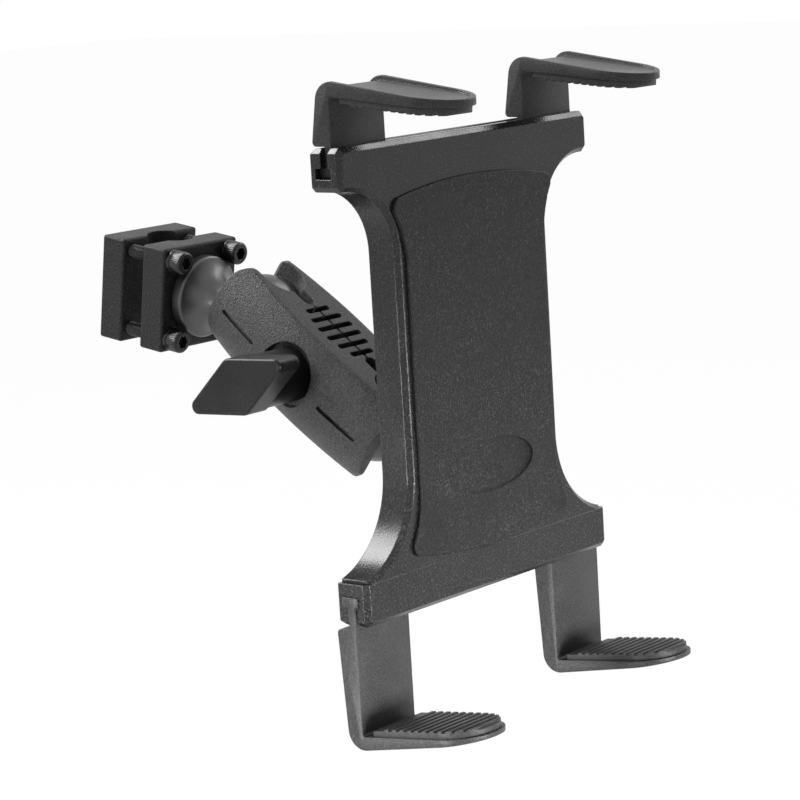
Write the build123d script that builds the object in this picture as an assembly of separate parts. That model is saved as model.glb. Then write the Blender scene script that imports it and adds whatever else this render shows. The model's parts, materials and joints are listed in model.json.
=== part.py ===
from build123d import *
import math
import os

os.makedirs("parts", exist_ok=True)

# Headrest tablet mount, in millimetres.
# The origin is the centre of the post that the clamp grips.
# +X runs along the holder's rails, -Y points to the tablet and +Z runs up the holder.

# Post clamp
JAW_SIZE = 36.0
JAW_THICKNESS = 10.4
JAW_GAP = 8.6
JAW_EDGE = 1.0
POST_RADIUS = 8.0
CLAMP_TILT = 9.0

# Clamp screws and their split washers
SCREW_OFFSET = 13.6
SCREW_DIAMETER = 4.8
SCREW_LENGTH = 30.0
HEAD_DIAMETER = 7.9
HEAD_HEIGHT = 4.8
HEAD_CHAMFER = 0.4
SOCKET_ACROSS_FLATS = 4.0
SOCKET_DEPTH = 2.6
WASHER_THICKNESS = 1.2
WASHER_SPLIT = 0.8
WASHER_LEAN = 25.0
SCREW_CLEARANCE = 0.25
THREAD_FIT = 0.05

# Ball studs, the same turned part at both ends of the arm
BALL_RADIUS = 12.7
BALL_HEIGHT = 30.3
BALL_FLAT_RADIUS = 3.0
FLANGE_RADIUS = 14.1
FLANGE_THICKNESS = 4.3
FLANGE_EDGE = 0.5
NECK_RADIUS = 6.2
TRUMPET_SHARE = 0.72
STUD_SCREW_DIAMETER = 5.0
STUD_SCREW_HEAD = 10.0
STUD_SCREW_BITE = 9.0
STUD_SCREW_SOCKET = 3.0

# Arm halves
BALL_SPACING = 58.4
ARM_ANGLE = 36.9
ARM_END = 10.0
ARM_WIDTH = 31.2
ARM_CORNER = 6.0
ARM_SPLIT = 1.2
ARM_CROWN_MIDDLE = 18.8
ARM_CROWN_END = 16.1
ARM_RIDGE_MIDDLE = 13.2
ARM_RIDGE_END = 8.4
ARM_RIDGE_ROUND = 2.4
SOCKET_FIT = 0.08
NECK_SLOT = 8.2
NECK_SLOT_FLARE = 2.0
COMB_PITCH = 4.5
COMB_WIDTH = 2.2
COMB_DEPTH = 3.6
COMB_HEIGHTS = (5.6, 7.4, 8.4, 8.4, 7.4, 5.6)
SEAM_GROOVE_HEIGHT = 2.4
SEAM_GROOVE_INNER = 14.0
LINE_GROOVE_WIDTH = 1.0
LINE_GROOVE_DEPTH = 0.7
LINE_GROOVE_INNER = 16.5
LINE_GROOVE_OUTER = 33.5

# Arm bolt, spring and knob
BOLT_DIAMETER = 6.0
BOLT_ACROSS_FLATS = 10.0
BOLT_HEAD_HEIGHT = 4.0
BOLT_HEAD_SINK = 6.0
BOLT_CLEARANCE = 0.2
RECESS_RADIUS = 10.9
RECESS_DEPTH = 4.2
KNOB_WASHER_RADIUS = 8.6
KNOB_WASHER_THICKNESS = 1.0
HUB_RADIUS = 9.0
HUB_HEIGHT = 18.2
HUB_EDGE = 0.8
WING_HALF_LENGTH = 21.5
WING_HALF_WIDTH = 8.2
WING_TIP_RADIUS = 2.6
WING_SIDE_RADIUS = 4.0
WING_THICKNESS = 9.6
WING_EDGE = 0.9
WING_TURN = 60.0
INSERT_RADIUS = 4.5
INSERT_LENGTH = 11.0
ARM_SPRING_RADIUS = 4.9
ARM_SPRING_WIRE = 1.1
ARM_SPRING_TURNS = 5
ARM_SPRING_SEAT = 8.0

# Holder body
RAIL_LENGTH = 126.0
BODY_HEIGHT = 147.0
BODY_DEPTH = 11.5
RAIL_HEIGHT = 13.4
RAIL_OVERHANG = 24.4
UPPER_COVE_FLAT = 3.4
LOWER_COVE_RADIUS = 30.0
FOOT_INSET = 2.0
FOOT_EDGE = 0.9
CORNER_CLIP = 1.6
FRONT_CHAMFER = 1.6
REAR_ROUND = 2.5

# T slot in both rails, counted from the rail's outer face and from the front face
SLOT_FRONT = 4.7
SLOT_WIDTH = 3.0
SLOT_HEAD_FRONT = 3.7
SLOT_HEAD_WIDTH = 6.2
SLOT_LIP = 6.0
SLOT_HEAD_HEIGHT = 3.4
SLOT_PLAY = 0.12
SLOT_LIP_ROUND = 0.9

# Spring-loaded lower rail
RAIL_TRAVEL = 40.0
TONGUE_WIDTH = 19.0
TONGUE_THICKNESS = 4.0
TONGUE_FRONT = 3.6
TONGUE_SEAT = 2.0
TONGUE_PLAY = 0.15
CROSSHEAD_WIDTH = 26.0
CROSSHEAD_HEIGHT = 8.0
LEDGE_THICKNESS = 1.8
STEP_HEIGHT = 22.0
CHANNEL_TOP = 56.0
TONGUE_SCREW_SPACING = 11.0
TONGUE_SCREW_DIAMETER = 2.2
TONGUE_SCREW_HEAD = 3.8
TONGUE_SCREW_LENGTH = 12.0
TENSION_SPRING_SPACING = 13.0
TENSION_SPRING_RADIUS = 2.4
TENSION_SPRING_WIRE = 0.7
TENSION_SPRING_TURNS = 14
SPRING_EYE_RADIUS = 1.9
PEG_RADIUS = 1.1
SPRING_PLAY = 0.1

# Back cover and adapter plate
COVER_WIDTH = 44.0
COVER_THICKNESS = 2.0
COVER_MARGIN = 4.0
COVER_FOOT = 3.0
COVER_MIDDLE_SCREW = 16.0
COVER_CORNER = 4.0
COVER_SCREW_DIAMETER = 2.2
COVER_SCREW_HEAD = 3.8
COVER_SCREW_LENGTH = 8.0
SMALL_SCREW_SOCKET = 1.4
ADAPTER_WIDTH = 52.0
ADAPTER_HEIGHT = 36.0
ADAPTER_THICKNESS = 3.0
ADAPTER_CORNER = 6.0
ADAPTER_ABOVE_FOOT = 50.2
ADAPTER_SCREW_X = 19.0
ADAPTER_SCREW_Z = 12.0
ADAPTER_SCREW_DIAMETER = 3.0
ADAPTER_SCREW_HEAD = 5.6
ADAPTER_SCREW_LENGTH = 10.0
ADAPTER_SCREW_SOCKET = 2.0

# Legs, counted from the rail's outer face and from the body's front face
LEG_WIDTH = 25.7
UPPER_LEG_REACH = 15.3
LOWER_LEG_REACH = 34.7
UPPER_LEG_INSET = 2.2
LOWER_LEG_INSET = -0.6
LEG_FRONT = 4.9
LEG_SHOULDER_BACK = 12.5
LEG_SHOULDER_ROUND = 1.4
UPPER_LEG_CORNER = 9.2
LOWER_LEG_CORNER = 10.2
UPPER_LEG_GAP = 0.3
LOWER_LEG_GAP = 1.0
HOOK_LENGTH = 42.5
HOOK_LEAN = 6.0
HOOK_ROOT = 5.3
UPPER_HOOK_TIP = 2.4
LOWER_HOOK_TIP = 1.5
HOOK_BEND = 6.0
HOOK_INNER_ROUND = 1.0
LEG_RIB = 1.6
LEG_CHANNEL_ROOT = 1.9
LEG_CHANNEL_TIP = 0.5
LEG_CHANNEL_START = 4.0
LEG_CHANNEL_BEND = 4.0

# Rubber pads
GRIP_START = 3.6
GRIP_MARGIN = 1.0
GRIP_BASE = 1.8
RIB_HEIGHT = 0.6
RIB_WIDTH = 1.7
RIB_PITCH = 3.0
RIB_COUNT = 11
RIB_START = 2.5
PAD_THICKNESS = 1.2
PAD_END_GAP = 0.6
PAD_ARCH = 4.5
PAD_COVE = 20.5
PAD_SIDE = 3.4
PAD_FLARE = 7.3
PAD_CORNER = 3.4
PAD_EDGE = 0.5
OVAL_LENGTH = 45.0
OVAL_HEIGHT = 17.0
OVAL_DROP = 33.8
OVAL_DEPTH = 0.6

# Places that follow from the sizes above
jaw_face = JAW_GAP / 2 + JAW_THICKNESS
ball_reach = jaw_face + BALL_HEIGHT
tilt = math.radians(CLAMP_TILT)
slope = math.radians(ARM_ANGLE)
ball_1 = Vector(0, -math.cos(tilt), -math.sin(tilt)) * ball_reach
arm_direction = Vector(0, -math.cos(slope), -math.sin(slope))
ball_2 = ball_1 + arm_direction * BALL_SPACING
holder_back = ball_2.Y - BALL_HEIGHT - ADAPTER_THICKNESS
holder_front = holder_back - BODY_DEPTH
rail_top = BODY_HEIGHT / 2
rail_end = RAIL_LENGTH / 2
seam = rail_top - RAIL_HEIGHT
waist = rail_end - RAIL_OVERHANG
adapter_drop = rail_top - ADAPTER_ABOVE_FOOT
holder_middle = ball_2.Z + adapter_drop

clamp_frame = Location((0, 0, 0), (CLAMP_TILT, 0, 0))
arm_middle = (ball_1 + ball_2) * 0.5
arm_frame = Plane(origin=arm_middle, x_dir=arm_direction, z_dir=(-1, 0, 0)).location
holder_frame = Location((0, holder_front, holder_middle))


ON_FLOOR = (Align.CENTER, Align.CENTER, Align.MIN)


def facing(point, direction):
    """Place a piece whose own +Z points along a direction."""
    return Plane(origin=point, z_dir=direction).location


def revolved(*edges):
    """Turn a closed outline in the XZ plane about Z."""
    return revolve(make_face(Wire(list(edges))), Axis.Z)


# Fasteners: each stands along Z, with its seat at zero and its shank below

def hexagon(across_flats, height):
    outline = RegularPolygon(across_flats / 2, 6, major_radius=False)
    return extrude(outline, height)


def cap_screw(diameter, length, head, head_height, across_flats, socket_depth):
    body = Pos(0, 0, -length) * Cylinder(diameter / 2, length, align=ON_FLOOR)
    cap = Cylinder(head / 2, head_height, align=ON_FLOOR)
    cap = chamfer(cap.edges().group_by(Axis.Z)[-1], HEAD_CHAMFER)
    socket = Pos(0, 0, head_height - socket_depth) * hexagon(across_flats, socket_depth)
    return body + cap - socket


def flat_screw(diameter, length, head, across_flats):
    """Countersunk screw: its flat top is at zero and the cone runs down from it."""
    sink = (head - diameter) / 2
    body = Pos(0, 0, -length) * Cylinder(diameter / 2, length, align=ON_FLOOR)
    cone = Pos(0, 0, -sink) * Cone(diameter / 2, head / 2, sink, align=ON_FLOOR)
    socket = Pos(0, 0, -sink * 0.8) * hexagon(across_flats, sink * 0.8)
    return body + cone - socket


def flat_screw_hole(diameter, length, head, clearance):
    """Space for a countersunk screw and for the driver above it."""
    sink = (head - diameter) / 2
    radius = diameter / 2 + clearance
    body = Pos(0, 0, -length) * Cylinder(radius, length, align=ON_FLOOR)
    cone = Pos(0, 0, -sink) * Cone(radius, head / 2 + clearance, sink, align=ON_FLOOR)
    return body + cone + Cylinder(head / 2 + clearance, head, align=ON_FLOOR)


def split_washer(inner, outer, thickness):
    ring = Cylinder(outer, thickness, align=ON_FLOOR) - Cylinder(inner, thickness, align=ON_FLOOR)
    cut = Pos(outer / 2, 0, thickness / 2) * Rot(WASHER_LEAN, 0, 0) * Box(outer, WASHER_SPLIT, thickness * 3)
    return ring - cut


def ribbed_sleeve(radius, wire, turns, bottom, top):
    """Close-wound coil as one sleeve with a ridge for each turn; a wire as thick as
    the radius leaves no bore."""
    pitch = (top - bottom) / turns
    points = [(radius - wire, bottom)]
    for turn in range(turns):
        start = bottom + turn * pitch
        points += [(radius - wire * 0.35, start), (radius, start + pitch / 2)]
    points += [(radius - wire * 0.35, top), (radius - wire, top)]
    outline = make_face(Polyline([(x, 0, z) for x, z in points], close=True))
    return revolve(outline, Axis.Z)


# Post clamp

def screw_corners():
    """Clamp screw axes in the clamp's frame, upper left first."""
    return [(x, z) for z in (SCREW_OFFSET, -SCREW_OFFSET) for x in (-SCREW_OFFSET, SCREW_OFFSET)]


def jaw(front):
    """One jaw block with its post groove; the screw holes are plain or tapped."""
    side = -1 if front else 1
    block = Pos(0, side * (JAW_GAP + JAW_THICKNESS) / 2, 0) * Box(JAW_SIZE, JAW_THICKNESS, JAW_SIZE)
    block = fillet(block.edges(), JAW_EDGE)
    block -= Cylinder(POST_RADIUS, JAW_SIZE * 2)
    clearance = SCREW_CLEARANCE if front else THREAD_FIT
    for x, z in screw_corners():
        hole = Cylinder(SCREW_DIAMETER / 2 + clearance, JAW_THICKNESS * 6)
        block -= Pos(x, 0, z) * Rot(90, 0, 0) * hole
    return block


def stud_screw_length():
    """From the countersink's top, just under the post, into the flange."""
    return jaw_face - stud_screw_top() + STUD_SCREW_BITE


def stud_screw_top():
    return POST_RADIUS + 0.3


def make_front_jaw():
    hole = flat_screw_hole(STUD_SCREW_DIAMETER, JAW_THICKNESS * 2, STUD_SCREW_HEAD, THREAD_FIT)
    return jaw(True) - facing((0, -stud_screw_top(), 0), (0, 1, 0)) * hole


def make_rear_jaw():
    return jaw(False)


def make_clamp_screw(corner):
    x, z = screw_corners()[corner]
    screw = cap_screw(
        SCREW_DIAMETER, SCREW_LENGTH, HEAD_DIAMETER, HEAD_HEIGHT, SOCKET_ACROSS_FLATS, SOCKET_DEPTH
    )
    return facing((x, -jaw_face - WASHER_THICKNESS, z), (0, -1, 0)) * screw


def make_lock_washers():
    washer = split_washer(SCREW_DIAMETER / 2 + THREAD_FIT, HEAD_DIAMETER / 2, WASHER_THICKNESS)
    return [facing((x, -jaw_face, z), (0, -1, 0)) * washer for x, z in screw_corners()]


# Ball stud: seat at zero, ball on +Z

def make_ball_stud():
    neck_top = BALL_HEIGHT - math.sqrt(BALL_RADIUS**2 - NECK_RADIUS**2)
    flat = math.sqrt(BALL_RADIUS**2 - BALL_FLAT_RADIUS**2)
    rim = FLANGE_RADIUS - FLANGE_EDGE
    throat = FLANGE_THICKNESS + (neck_top - FLANGE_THICKNESS) * TRUMPET_SHARE
    outline = [
        Line((0, 0, 0), (rim, 0, 0)),
        Line((rim, 0, 0), (FLANGE_RADIUS, 0, FLANGE_EDGE)),
        Line((FLANGE_RADIUS, 0, FLANGE_EDGE), (FLANGE_RADIUS, 0, FLANGE_THICKNESS - FLANGE_EDGE)),
        Line((FLANGE_RADIUS, 0, FLANGE_THICKNESS - FLANGE_EDGE), (rim, 0, FLANGE_THICKNESS)),
        TangentArc((NECK_RADIUS, 0, throat), (rim, 0, FLANGE_THICKNESS), tangent=(0, 0, -1)),
        Line((NECK_RADIUS, 0, throat), (NECK_RADIUS, 0, neck_top)),
        ThreePointArc(
            (NECK_RADIUS, 0, neck_top),
            (BALL_RADIUS, 0, BALL_HEIGHT),
            (BALL_FLAT_RADIUS, 0, BALL_HEIGHT + flat),
        ),
        Line((BALL_FLAT_RADIUS, 0, BALL_HEIGHT + flat), (0, 0, BALL_HEIGHT + flat)),
        Line((0, 0, BALL_HEIGHT + flat), (0, 0, 0)),
    ]
    bore = Cylinder(STUD_SCREW_DIAMETER / 2 + THREAD_FIT, STUD_SCREW_BITE + 2, align=ON_FLOOR)
    return revolved(*outline) - bore


# Arm: X runs from the clamp's ball to the holder's, Z out of the knob's side

def arm_section(x, ridge, crown):
    """Upright D outline across the arm, with its flat side on the split."""
    half = ARM_WIDTH / 2
    low = ARM_SPLIT / 2
    outline = [
        Line((x, -half, low), (x, half, low)),
        Line((x, half, low), (x, half, ridge)),
        ThreePointArc((x, half, ridge), (x, 0, crown), (x, -half, ridge)),
        Line((x, -half, ridge), (x, -half, low)),
    ]
    return make_face(Wire(outline))


def comb_cuts():
    """Pockets that open to the split along both flat sides: round-ended slots in the middle
    and a half-round groove at each end."""
    outline = None
    for index, height in enumerate(COMB_HEIGHTS):
        x = (index - (len(COMB_HEIGHTS) - 1) / 2) * COMB_PITCH
        slot = Pos(x, 0) * Rectangle(COMB_WIDTH, 2 * (height - COMB_WIDTH / 2))
        slot += Pos(x, height - COMB_WIDTH / 2) * Circle(COMB_WIDTH / 2)
        outline = slot if outline is None else outline + slot
    inner_end = BALL_SPACING / 2 - NECK_SLOT
    length = inner_end + SEAM_GROOVE_HEIGHT - SEAM_GROOVE_INNER
    for side in (-1, 1):
        x = side * (SEAM_GROOVE_INNER + length / 2)
        outline += Pos(x, 0) * RectangleRounded(length, 2 * SEAM_GROOVE_HEIGHT, SEAM_GROOVE_HEIGHT * 0.9)
    y = ARM_WIDTH / 2 - COMB_DEPTH
    cut = extrude(Plane((0, y, 0), x_dir=(1, 0, 0), z_dir=(0, -1, 0)) * outline, -ARM_WIDTH)
    return [cut, mirror(cut, Plane.XZ)]


def arm_shell():
    """One half without what differs between the knob's side and the bolt's."""
    half_length = BALL_SPACING / 2 + ARM_END
    sections = [
        arm_section(-half_length, ARM_RIDGE_END, ARM_CROWN_END),
        arm_section(0, ARM_RIDGE_MIDDLE, ARM_CROWN_MIDDLE),
        arm_section(half_length, ARM_RIDGE_END, ARM_CROWN_END),
    ]
    shell = loft(sections)
    ridges = shell.edges().filter_by(lambda e: abs(abs(e.center().Y) - ARM_WIDTH / 2) < 0.1)
    ridges = ridges.filter_by(lambda e: e.center().Z > ARM_RIDGE_END and e.length > BALL_SPACING)
    shell = fillet(ridges, ARM_RIDGE_ROUND)
    plan = RectangleRounded(half_length * 2, ARM_WIDTH + 0.01, ARM_CORNER)
    shell = shell & extrude(plan, ARM_CROWN_MIDDLE * 2)
    for end in (-1, 1):
        ball = Pos(end * BALL_SPACING / 2, 0, 0)
        shell -= ball * Sphere(BALL_RADIUS + SOCKET_FIT)
        shell -= ball * Rot(90, 0, 0) * Cylinder(NECK_SLOT, ARM_WIDTH * 2)
        mouth = Box(ARM_END * 2, ARM_WIDTH * 2, NECK_SLOT * 2)
        shell -= ball * Pos(end * ARM_END, 0, 0) * mouth
        flare = Box(NECK_SLOT_FLARE * 1.5, ARM_WIDTH * 2, NECK_SLOT_FLARE * 1.5)
        shell -= Pos(end * half_length, 0, NECK_SLOT) * Rot(0, 45, 0) * flare
        line = Box(LINE_GROOVE_OUTER - LINE_GROOVE_INNER, LINE_GROOVE_WIDTH, ARM_CROWN_MIDDLE)
        x = end * (LINE_GROOVE_OUTER + LINE_GROOVE_INNER) / 2
        bottom = (ARM_CROWN_MIDDLE + ARM_CROWN_END) / 2 - LINE_GROOVE_DEPTH
        shell -= Pos(x, 0, bottom + ARM_CROWN_MIDDLE / 2) * line
    for cut in comb_cuts():
        shell -= cut
    shell -= Cylinder(BOLT_DIAMETER / 2 + BOLT_CLEARANCE, ARM_CROWN_MIDDLE * 3)
    shell -= Cylinder(ARM_SPRING_RADIUS + BOLT_CLEARANCE, ARM_SPRING_SEAT, align=ON_FLOOR)
    return shell


recess_floor = ARM_CROWN_MIDDLE - RECESS_DEPTH
bolt_seat = -(ARM_CROWN_MIDDLE - BOLT_HEAD_SINK)
knob_seat = recess_floor + KNOB_WASHER_THICKNESS


def make_arm_half_front():
    recess = Pos(0, 0, recess_floor) * Cylinder(RECESS_RADIUS, ARM_CROWN_MIDDLE, align=ON_FLOOR)
    return arm_shell() - recess


def make_arm_half_rear():
    pocket = Pos(0, 0, -bolt_seat) * hexagon(BOLT_ACROSS_FLATS + 2 * THREAD_FIT, ARM_CROWN_MIDDLE)
    return Rot(180, 0, 0) * (arm_shell() - pocket)


def make_arm_bolt():
    length = knob_seat + INSERT_LENGTH - bolt_seat
    shank = Pos(0, 0, bolt_seat) * Cylinder(BOLT_DIAMETER / 2, length, align=ON_FLOOR)
    head = Pos(0, 0, bolt_seat - BOLT_HEAD_HEIGHT) * hexagon(BOLT_ACROSS_FLATS, BOLT_HEAD_HEIGHT)
    return shank + head


def make_arm_spring():
    return ribbed_sleeve(
        ARM_SPRING_RADIUS, ARM_SPRING_WIRE, ARM_SPRING_TURNS, -ARM_SPRING_SEAT, ARM_SPRING_SEAT
    )


def make_knob_washer():
    inner = Cylinder(BOLT_DIAMETER / 2 + BOLT_CLEARANCE, KNOB_WASHER_THICKNESS, align=ON_FLOOR)
    washer = Cylinder(KNOB_WASHER_RADIUS, KNOB_WASHER_THICKNESS, align=ON_FLOOR) - inner
    return Pos(0, 0, recess_floor) * washer


def wing_outline():
    """Lozenge with round corners."""
    half_angle = math.atan2(WING_HALF_WIDTH, WING_HALF_LENGTH)
    reach = WING_HALF_LENGTH + WING_TIP_RADIUS * (1 / math.sin(half_angle) - 1)
    rise = reach * math.tan(half_angle)
    outline = Polygon((reach, 0), (0, rise), (-reach, 0), (0, -rise), align=None)
    outline = fillet(outline.vertices().filter_by(lambda v: abs(v.X) < 0.1), WING_SIDE_RADIUS)
    return fillet(outline.vertices().filter_by(lambda v: abs(v.Y) < 0.1), WING_TIP_RADIUS)


def make_wing_knob():
    wing = extrude(wing_outline(), WING_THICKNESS)
    wing = fillet(wing.edges().group_by(Axis.Z)[-1], WING_EDGE)
    hub = Cylinder(HUB_RADIUS, HUB_HEIGHT, align=ON_FLOOR)
    hub = chamfer(hub.edges().group_by(Axis.Z)[-1], HUB_EDGE)
    knob = hub + Pos(0, 0, HUB_HEIGHT - HUB_EDGE) * wing
    knob -= Cylinder(INSERT_RADIUS, INSERT_LENGTH, align=ON_FLOOR)
    return Pos(0, 0, knob_seat) * Rot(0, 0, WING_TURN) * knob


def make_knob_insert():
    bore = Cylinder(BOLT_DIAMETER / 2 + THREAD_FIT, INSERT_LENGTH, align=ON_FLOOR)
    return Pos(0, 0, knob_seat) * (Cylinder(INSERT_RADIUS, INSERT_LENGTH, align=ON_FLOOR) - bore)


# Holder: Y is zero on the body's front face and grows to the back

def outline_side(side):
    """One side of the body's outline, drawn on below the seam, where it is cut off later."""
    clip = CORNER_CLIP
    cove = RAIL_OVERHANG - UPPER_COVE_FLAT
    foot = rail_end - FOOT_INSET
    rise = math.sqrt(LOWER_COVE_RADIUS**2 - (waist + LOWER_COVE_RADIUS - foot) ** 2)
    points = [(0, rail_top), (rail_end - clip, rail_top), (rail_end, rail_top - clip)]
    points += [(rail_end, seam + clip), (rail_end - clip, seam), (waist + cove, seam)]
    points += [(waist, seam - cove), (waist, -seam + FOOT_EDGE + rise)]
    points += [(foot, -seam + FOOT_EDGE), (foot, -rail_top), (0, -rail_top)]
    points = [(side * x, z) for x, z in points]
    edges = [Line(points[index], points[index + 1]) for index in (0, 1, 2, 3, 4, 6, 8, 9)]
    edges.append(TangentArc(points[6], points[5], tangent=(0, 1)))
    edges.append(TangentArc(points[7], points[8], tangent=(0, -1)))
    return edges


def body_outline():
    """I shape in the XZ plane: a rail on top, a waist with round coves and a thin foot."""
    return make_face(Wire.combine(outline_side(-1) + outline_side(1))[0])


def rail_outline():
    """Lower rail seen from the front, with clipped outer corners and drawn on above the seam."""
    clip = CORNER_CLIP
    half = [(rail_end - clip, -rail_top), (rail_end, clip - rail_top), (rail_end, rail_top)]
    return Polygon(*half, *[(-x, z) for x, z in reversed(half)], align=None)


def upright(sketch, start, depth):
    """Stand a sketch drawn in X and Z up and give it depth along Y."""
    return extrude(Plane((0, start, 0), x_dir=(1, 0, 0), z_dir=(0, -1, 0)) * sketch, -depth)


def bevelled(solid, outer):
    """Chamfer round the front, and round off the outer rear edge."""
    solid = chamfer(solid.edges().group_by(Axis.Y)[0], FRONT_CHAMFER)
    rear = solid.edges().group_by(Axis.Y)[-1].filter_by(lambda e: abs(e.center().Z - outer) < 0.01)
    return fillet(rear, REAR_ROUND)


def t_slot():
    """Slot along the upper rail with round lips, open at both ends; the lower rail turns it over."""
    middle = SLOT_FRONT + SLOT_WIDTH / 2
    section = Pos(middle, rail_top - SLOT_LIP / 2) * Rectangle(SLOT_WIDTH, SLOT_LIP + THREAD_FIT)
    head = Rectangle(SLOT_HEAD_WIDTH, SLOT_HEAD_HEIGHT)
    section += Pos(SLOT_HEAD_FRONT + SLOT_HEAD_WIDTH / 2, rail_top - SLOT_LIP - SLOT_HEAD_HEIGHT / 2) * head
    mouth = Rectangle(SLOT_WIDTH + 2 * SLOT_LIP_ROUND, SLOT_LIP_ROUND)
    section += Pos(middle, rail_top - SLOT_LIP_ROUND / 2) * mouth
    for side in (-1, 1):
        y = middle + side * (SLOT_WIDTH / 2 + SLOT_LIP_ROUND)
        section -= Pos(y, rail_top - SLOT_LIP_ROUND) * Circle(SLOT_LIP_ROUND)
    return extrude(Plane.YZ * section, RAIL_LENGTH, both=True)


crosshead_bottom = -STEP_HEIGHT + RAIL_TRAVEL
channel_front = TONGUE_FRONT - TONGUE_PLAY
channel_depth = TONGUE_THICKNESS + 2 * TONGUE_PLAY
cover_front = BODY_DEPTH - COVER_THICKNESS


def channel():
    """Room for the tongue, its crosshead and the two springs, open at the seam."""
    depth = cover_front - channel_front
    narrow_height = seam - STEP_HEIGHT + 1
    narrow = Box(TONGUE_WIDTH + 2 * TONGUE_PLAY, depth, narrow_height)
    wide = Box(CROSSHEAD_WIDTH + 2 * TONGUE_PLAY, depth, CHANNEL_TOP + STEP_HEIGHT)
    y = channel_front + depth / 2
    low = Pos(0, y, -seam - 1 + narrow_height / 2) * narrow
    return low + Pos(0, y, (CHANNEL_TOP - STEP_HEIGHT) / 2) * wide


def cover_plate(play):
    """Cover outline in the body's back, smaller by the play all round."""
    bottom = -seam + COVER_FOOT
    top = CHANNEL_TOP + COVER_MARGIN
    plate = RectangleRounded(COVER_WIDTH - 2 * play, top - bottom - 2 * play, COVER_CORNER)
    return upright(Pos(0, (bottom + top) / 2) * plate, cover_front, COVER_THICKNESS)


def cover_screw_places():
    x = COVER_WIDTH / 2 - COVER_SCREW_HEAD
    low = -seam + COVER_FOOT + COVER_SCREW_HEAD
    return [(side * x, z) for z in (CHANNEL_TOP, COVER_MIDDLE_SCREW, low) for side in (-1, 1)]


def adapter_screw_places():
    return [(x, -adapter_drop + z) for x in (-ADAPTER_SCREW_X, ADAPTER_SCREW_X)
            for z in (-ADAPTER_SCREW_Z, ADAPTER_SCREW_Z)]


def cover_screw_holes():
    hole = flat_screw_hole(COVER_SCREW_DIAMETER, COVER_SCREW_LENGTH, COVER_SCREW_HEAD, THREAD_FIT)
    return [facing((x, BODY_DEPTH, z), (0, 1, 0)) * hole for x, z in cover_screw_places()]


def adapter_screw_holes():
    hole = flat_screw_hole(ADAPTER_SCREW_DIAMETER, ADAPTER_SCREW_LENGTH, ADAPTER_SCREW_HEAD, THREAD_FIT)
    y = BODY_DEPTH + ADAPTER_THICKNESS
    return [facing((x, y, z), (0, 1, 0)) * hole for x, z in adapter_screw_places()]


def spring_pegs(z, start, end):
    pegs = []
    for side in (-1, 1):
        x = side * TENSION_SPRING_SPACING / 2
        peg = Cylinder(PEG_RADIUS, end - start, align=ON_FLOOR)
        pegs.append(facing((x, start, z), (0, 1, 0)) * peg)
    return pegs


upper_peg = CHANNEL_TOP - 2 * SPRING_EYE_RADIUS
crosshead_top = crosshead_bottom + CROSSHEAD_HEIGHT
eye_reach = SPRING_EYE_RADIUS + TENSION_SPRING_WIRE / 2
eye_shift = eye_reach - TENSION_SPRING_WIRE - PEG_RADIUS - SPRING_PLAY
lower_peg = crosshead_top - eye_reach + TENSION_SPRING_WIRE / 2
ledge_bottom = lower_peg - eye_reach


def make_holder_body():
    body = bevelled(upright(body_outline(), 0, BODY_DEPTH), rail_top)
    body -= Pos(0, 0, -seam - BODY_HEIGHT / 2) * Box(RAIL_LENGTH * 2, BODY_DEPTH * 4, BODY_HEIGHT)
    body -= t_slot()
    body -= cover_plate(0)
    body -= channel()
    for peg in spring_pegs(upper_peg, channel_front / 2, cover_front - TONGUE_PLAY):
        body += peg
    for hole in cover_screw_holes() + adapter_screw_holes():
        body -= hole
    return body


def make_back_cover():
    cover = cover_plate(TONGUE_PLAY)
    for hole in cover_screw_holes() + adapter_screw_holes():
        cover -= hole
    return cover


def make_cover_screws():
    screw = flat_screw(COVER_SCREW_DIAMETER, COVER_SCREW_LENGTH, COVER_SCREW_HEAD, SMALL_SCREW_SOCKET)
    return [facing((x, BODY_DEPTH, z), (0, 1, 0)) * screw for x, z in cover_screw_places()]


def make_adapter_plate():
    plate = RectangleRounded(ADAPTER_WIDTH, ADAPTER_HEIGHT, ADAPTER_CORNER)
    plate = upright(Pos(0, -adapter_drop) * plate, BODY_DEPTH, ADAPTER_THICKNESS)
    hole = flat_screw_hole(STUD_SCREW_DIAMETER, ADAPTER_THICKNESS * 2, STUD_SCREW_HEAD, THREAD_FIT)
    plate -= facing((0, BODY_DEPTH, -adapter_drop), (0, -1, 0)) * hole
    for hole in adapter_screw_holes():
        plate -= hole
    return plate


def make_adapter_screws():
    screw = flat_screw(ADAPTER_SCREW_DIAMETER, ADAPTER_SCREW_LENGTH, ADAPTER_SCREW_HEAD, ADAPTER_SCREW_SOCKET)
    y = BODY_DEPTH + ADAPTER_THICKNESS
    return [facing((x, y, z), (0, 1, 0)) * screw for x, z in adapter_screw_places()]


def make_holder_stud_screw():
    screw = flat_screw(
        STUD_SCREW_DIAMETER, ADAPTER_THICKNESS + STUD_SCREW_BITE, STUD_SCREW_HEAD, STUD_SCREW_SOCKET
    )
    return facing((0, BODY_DEPTH, -adapter_drop), (0, -1, 0)) * screw


def tongue_screw_places():
    return [(side * TONGUE_SCREW_SPACING / 2, TONGUE_FRONT + TONGUE_THICKNESS / 2) for side in (-1, 1)]


tongue_screw_seat = -rail_top + SLOT_LIP + SLOT_HEAD_HEIGHT


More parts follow.
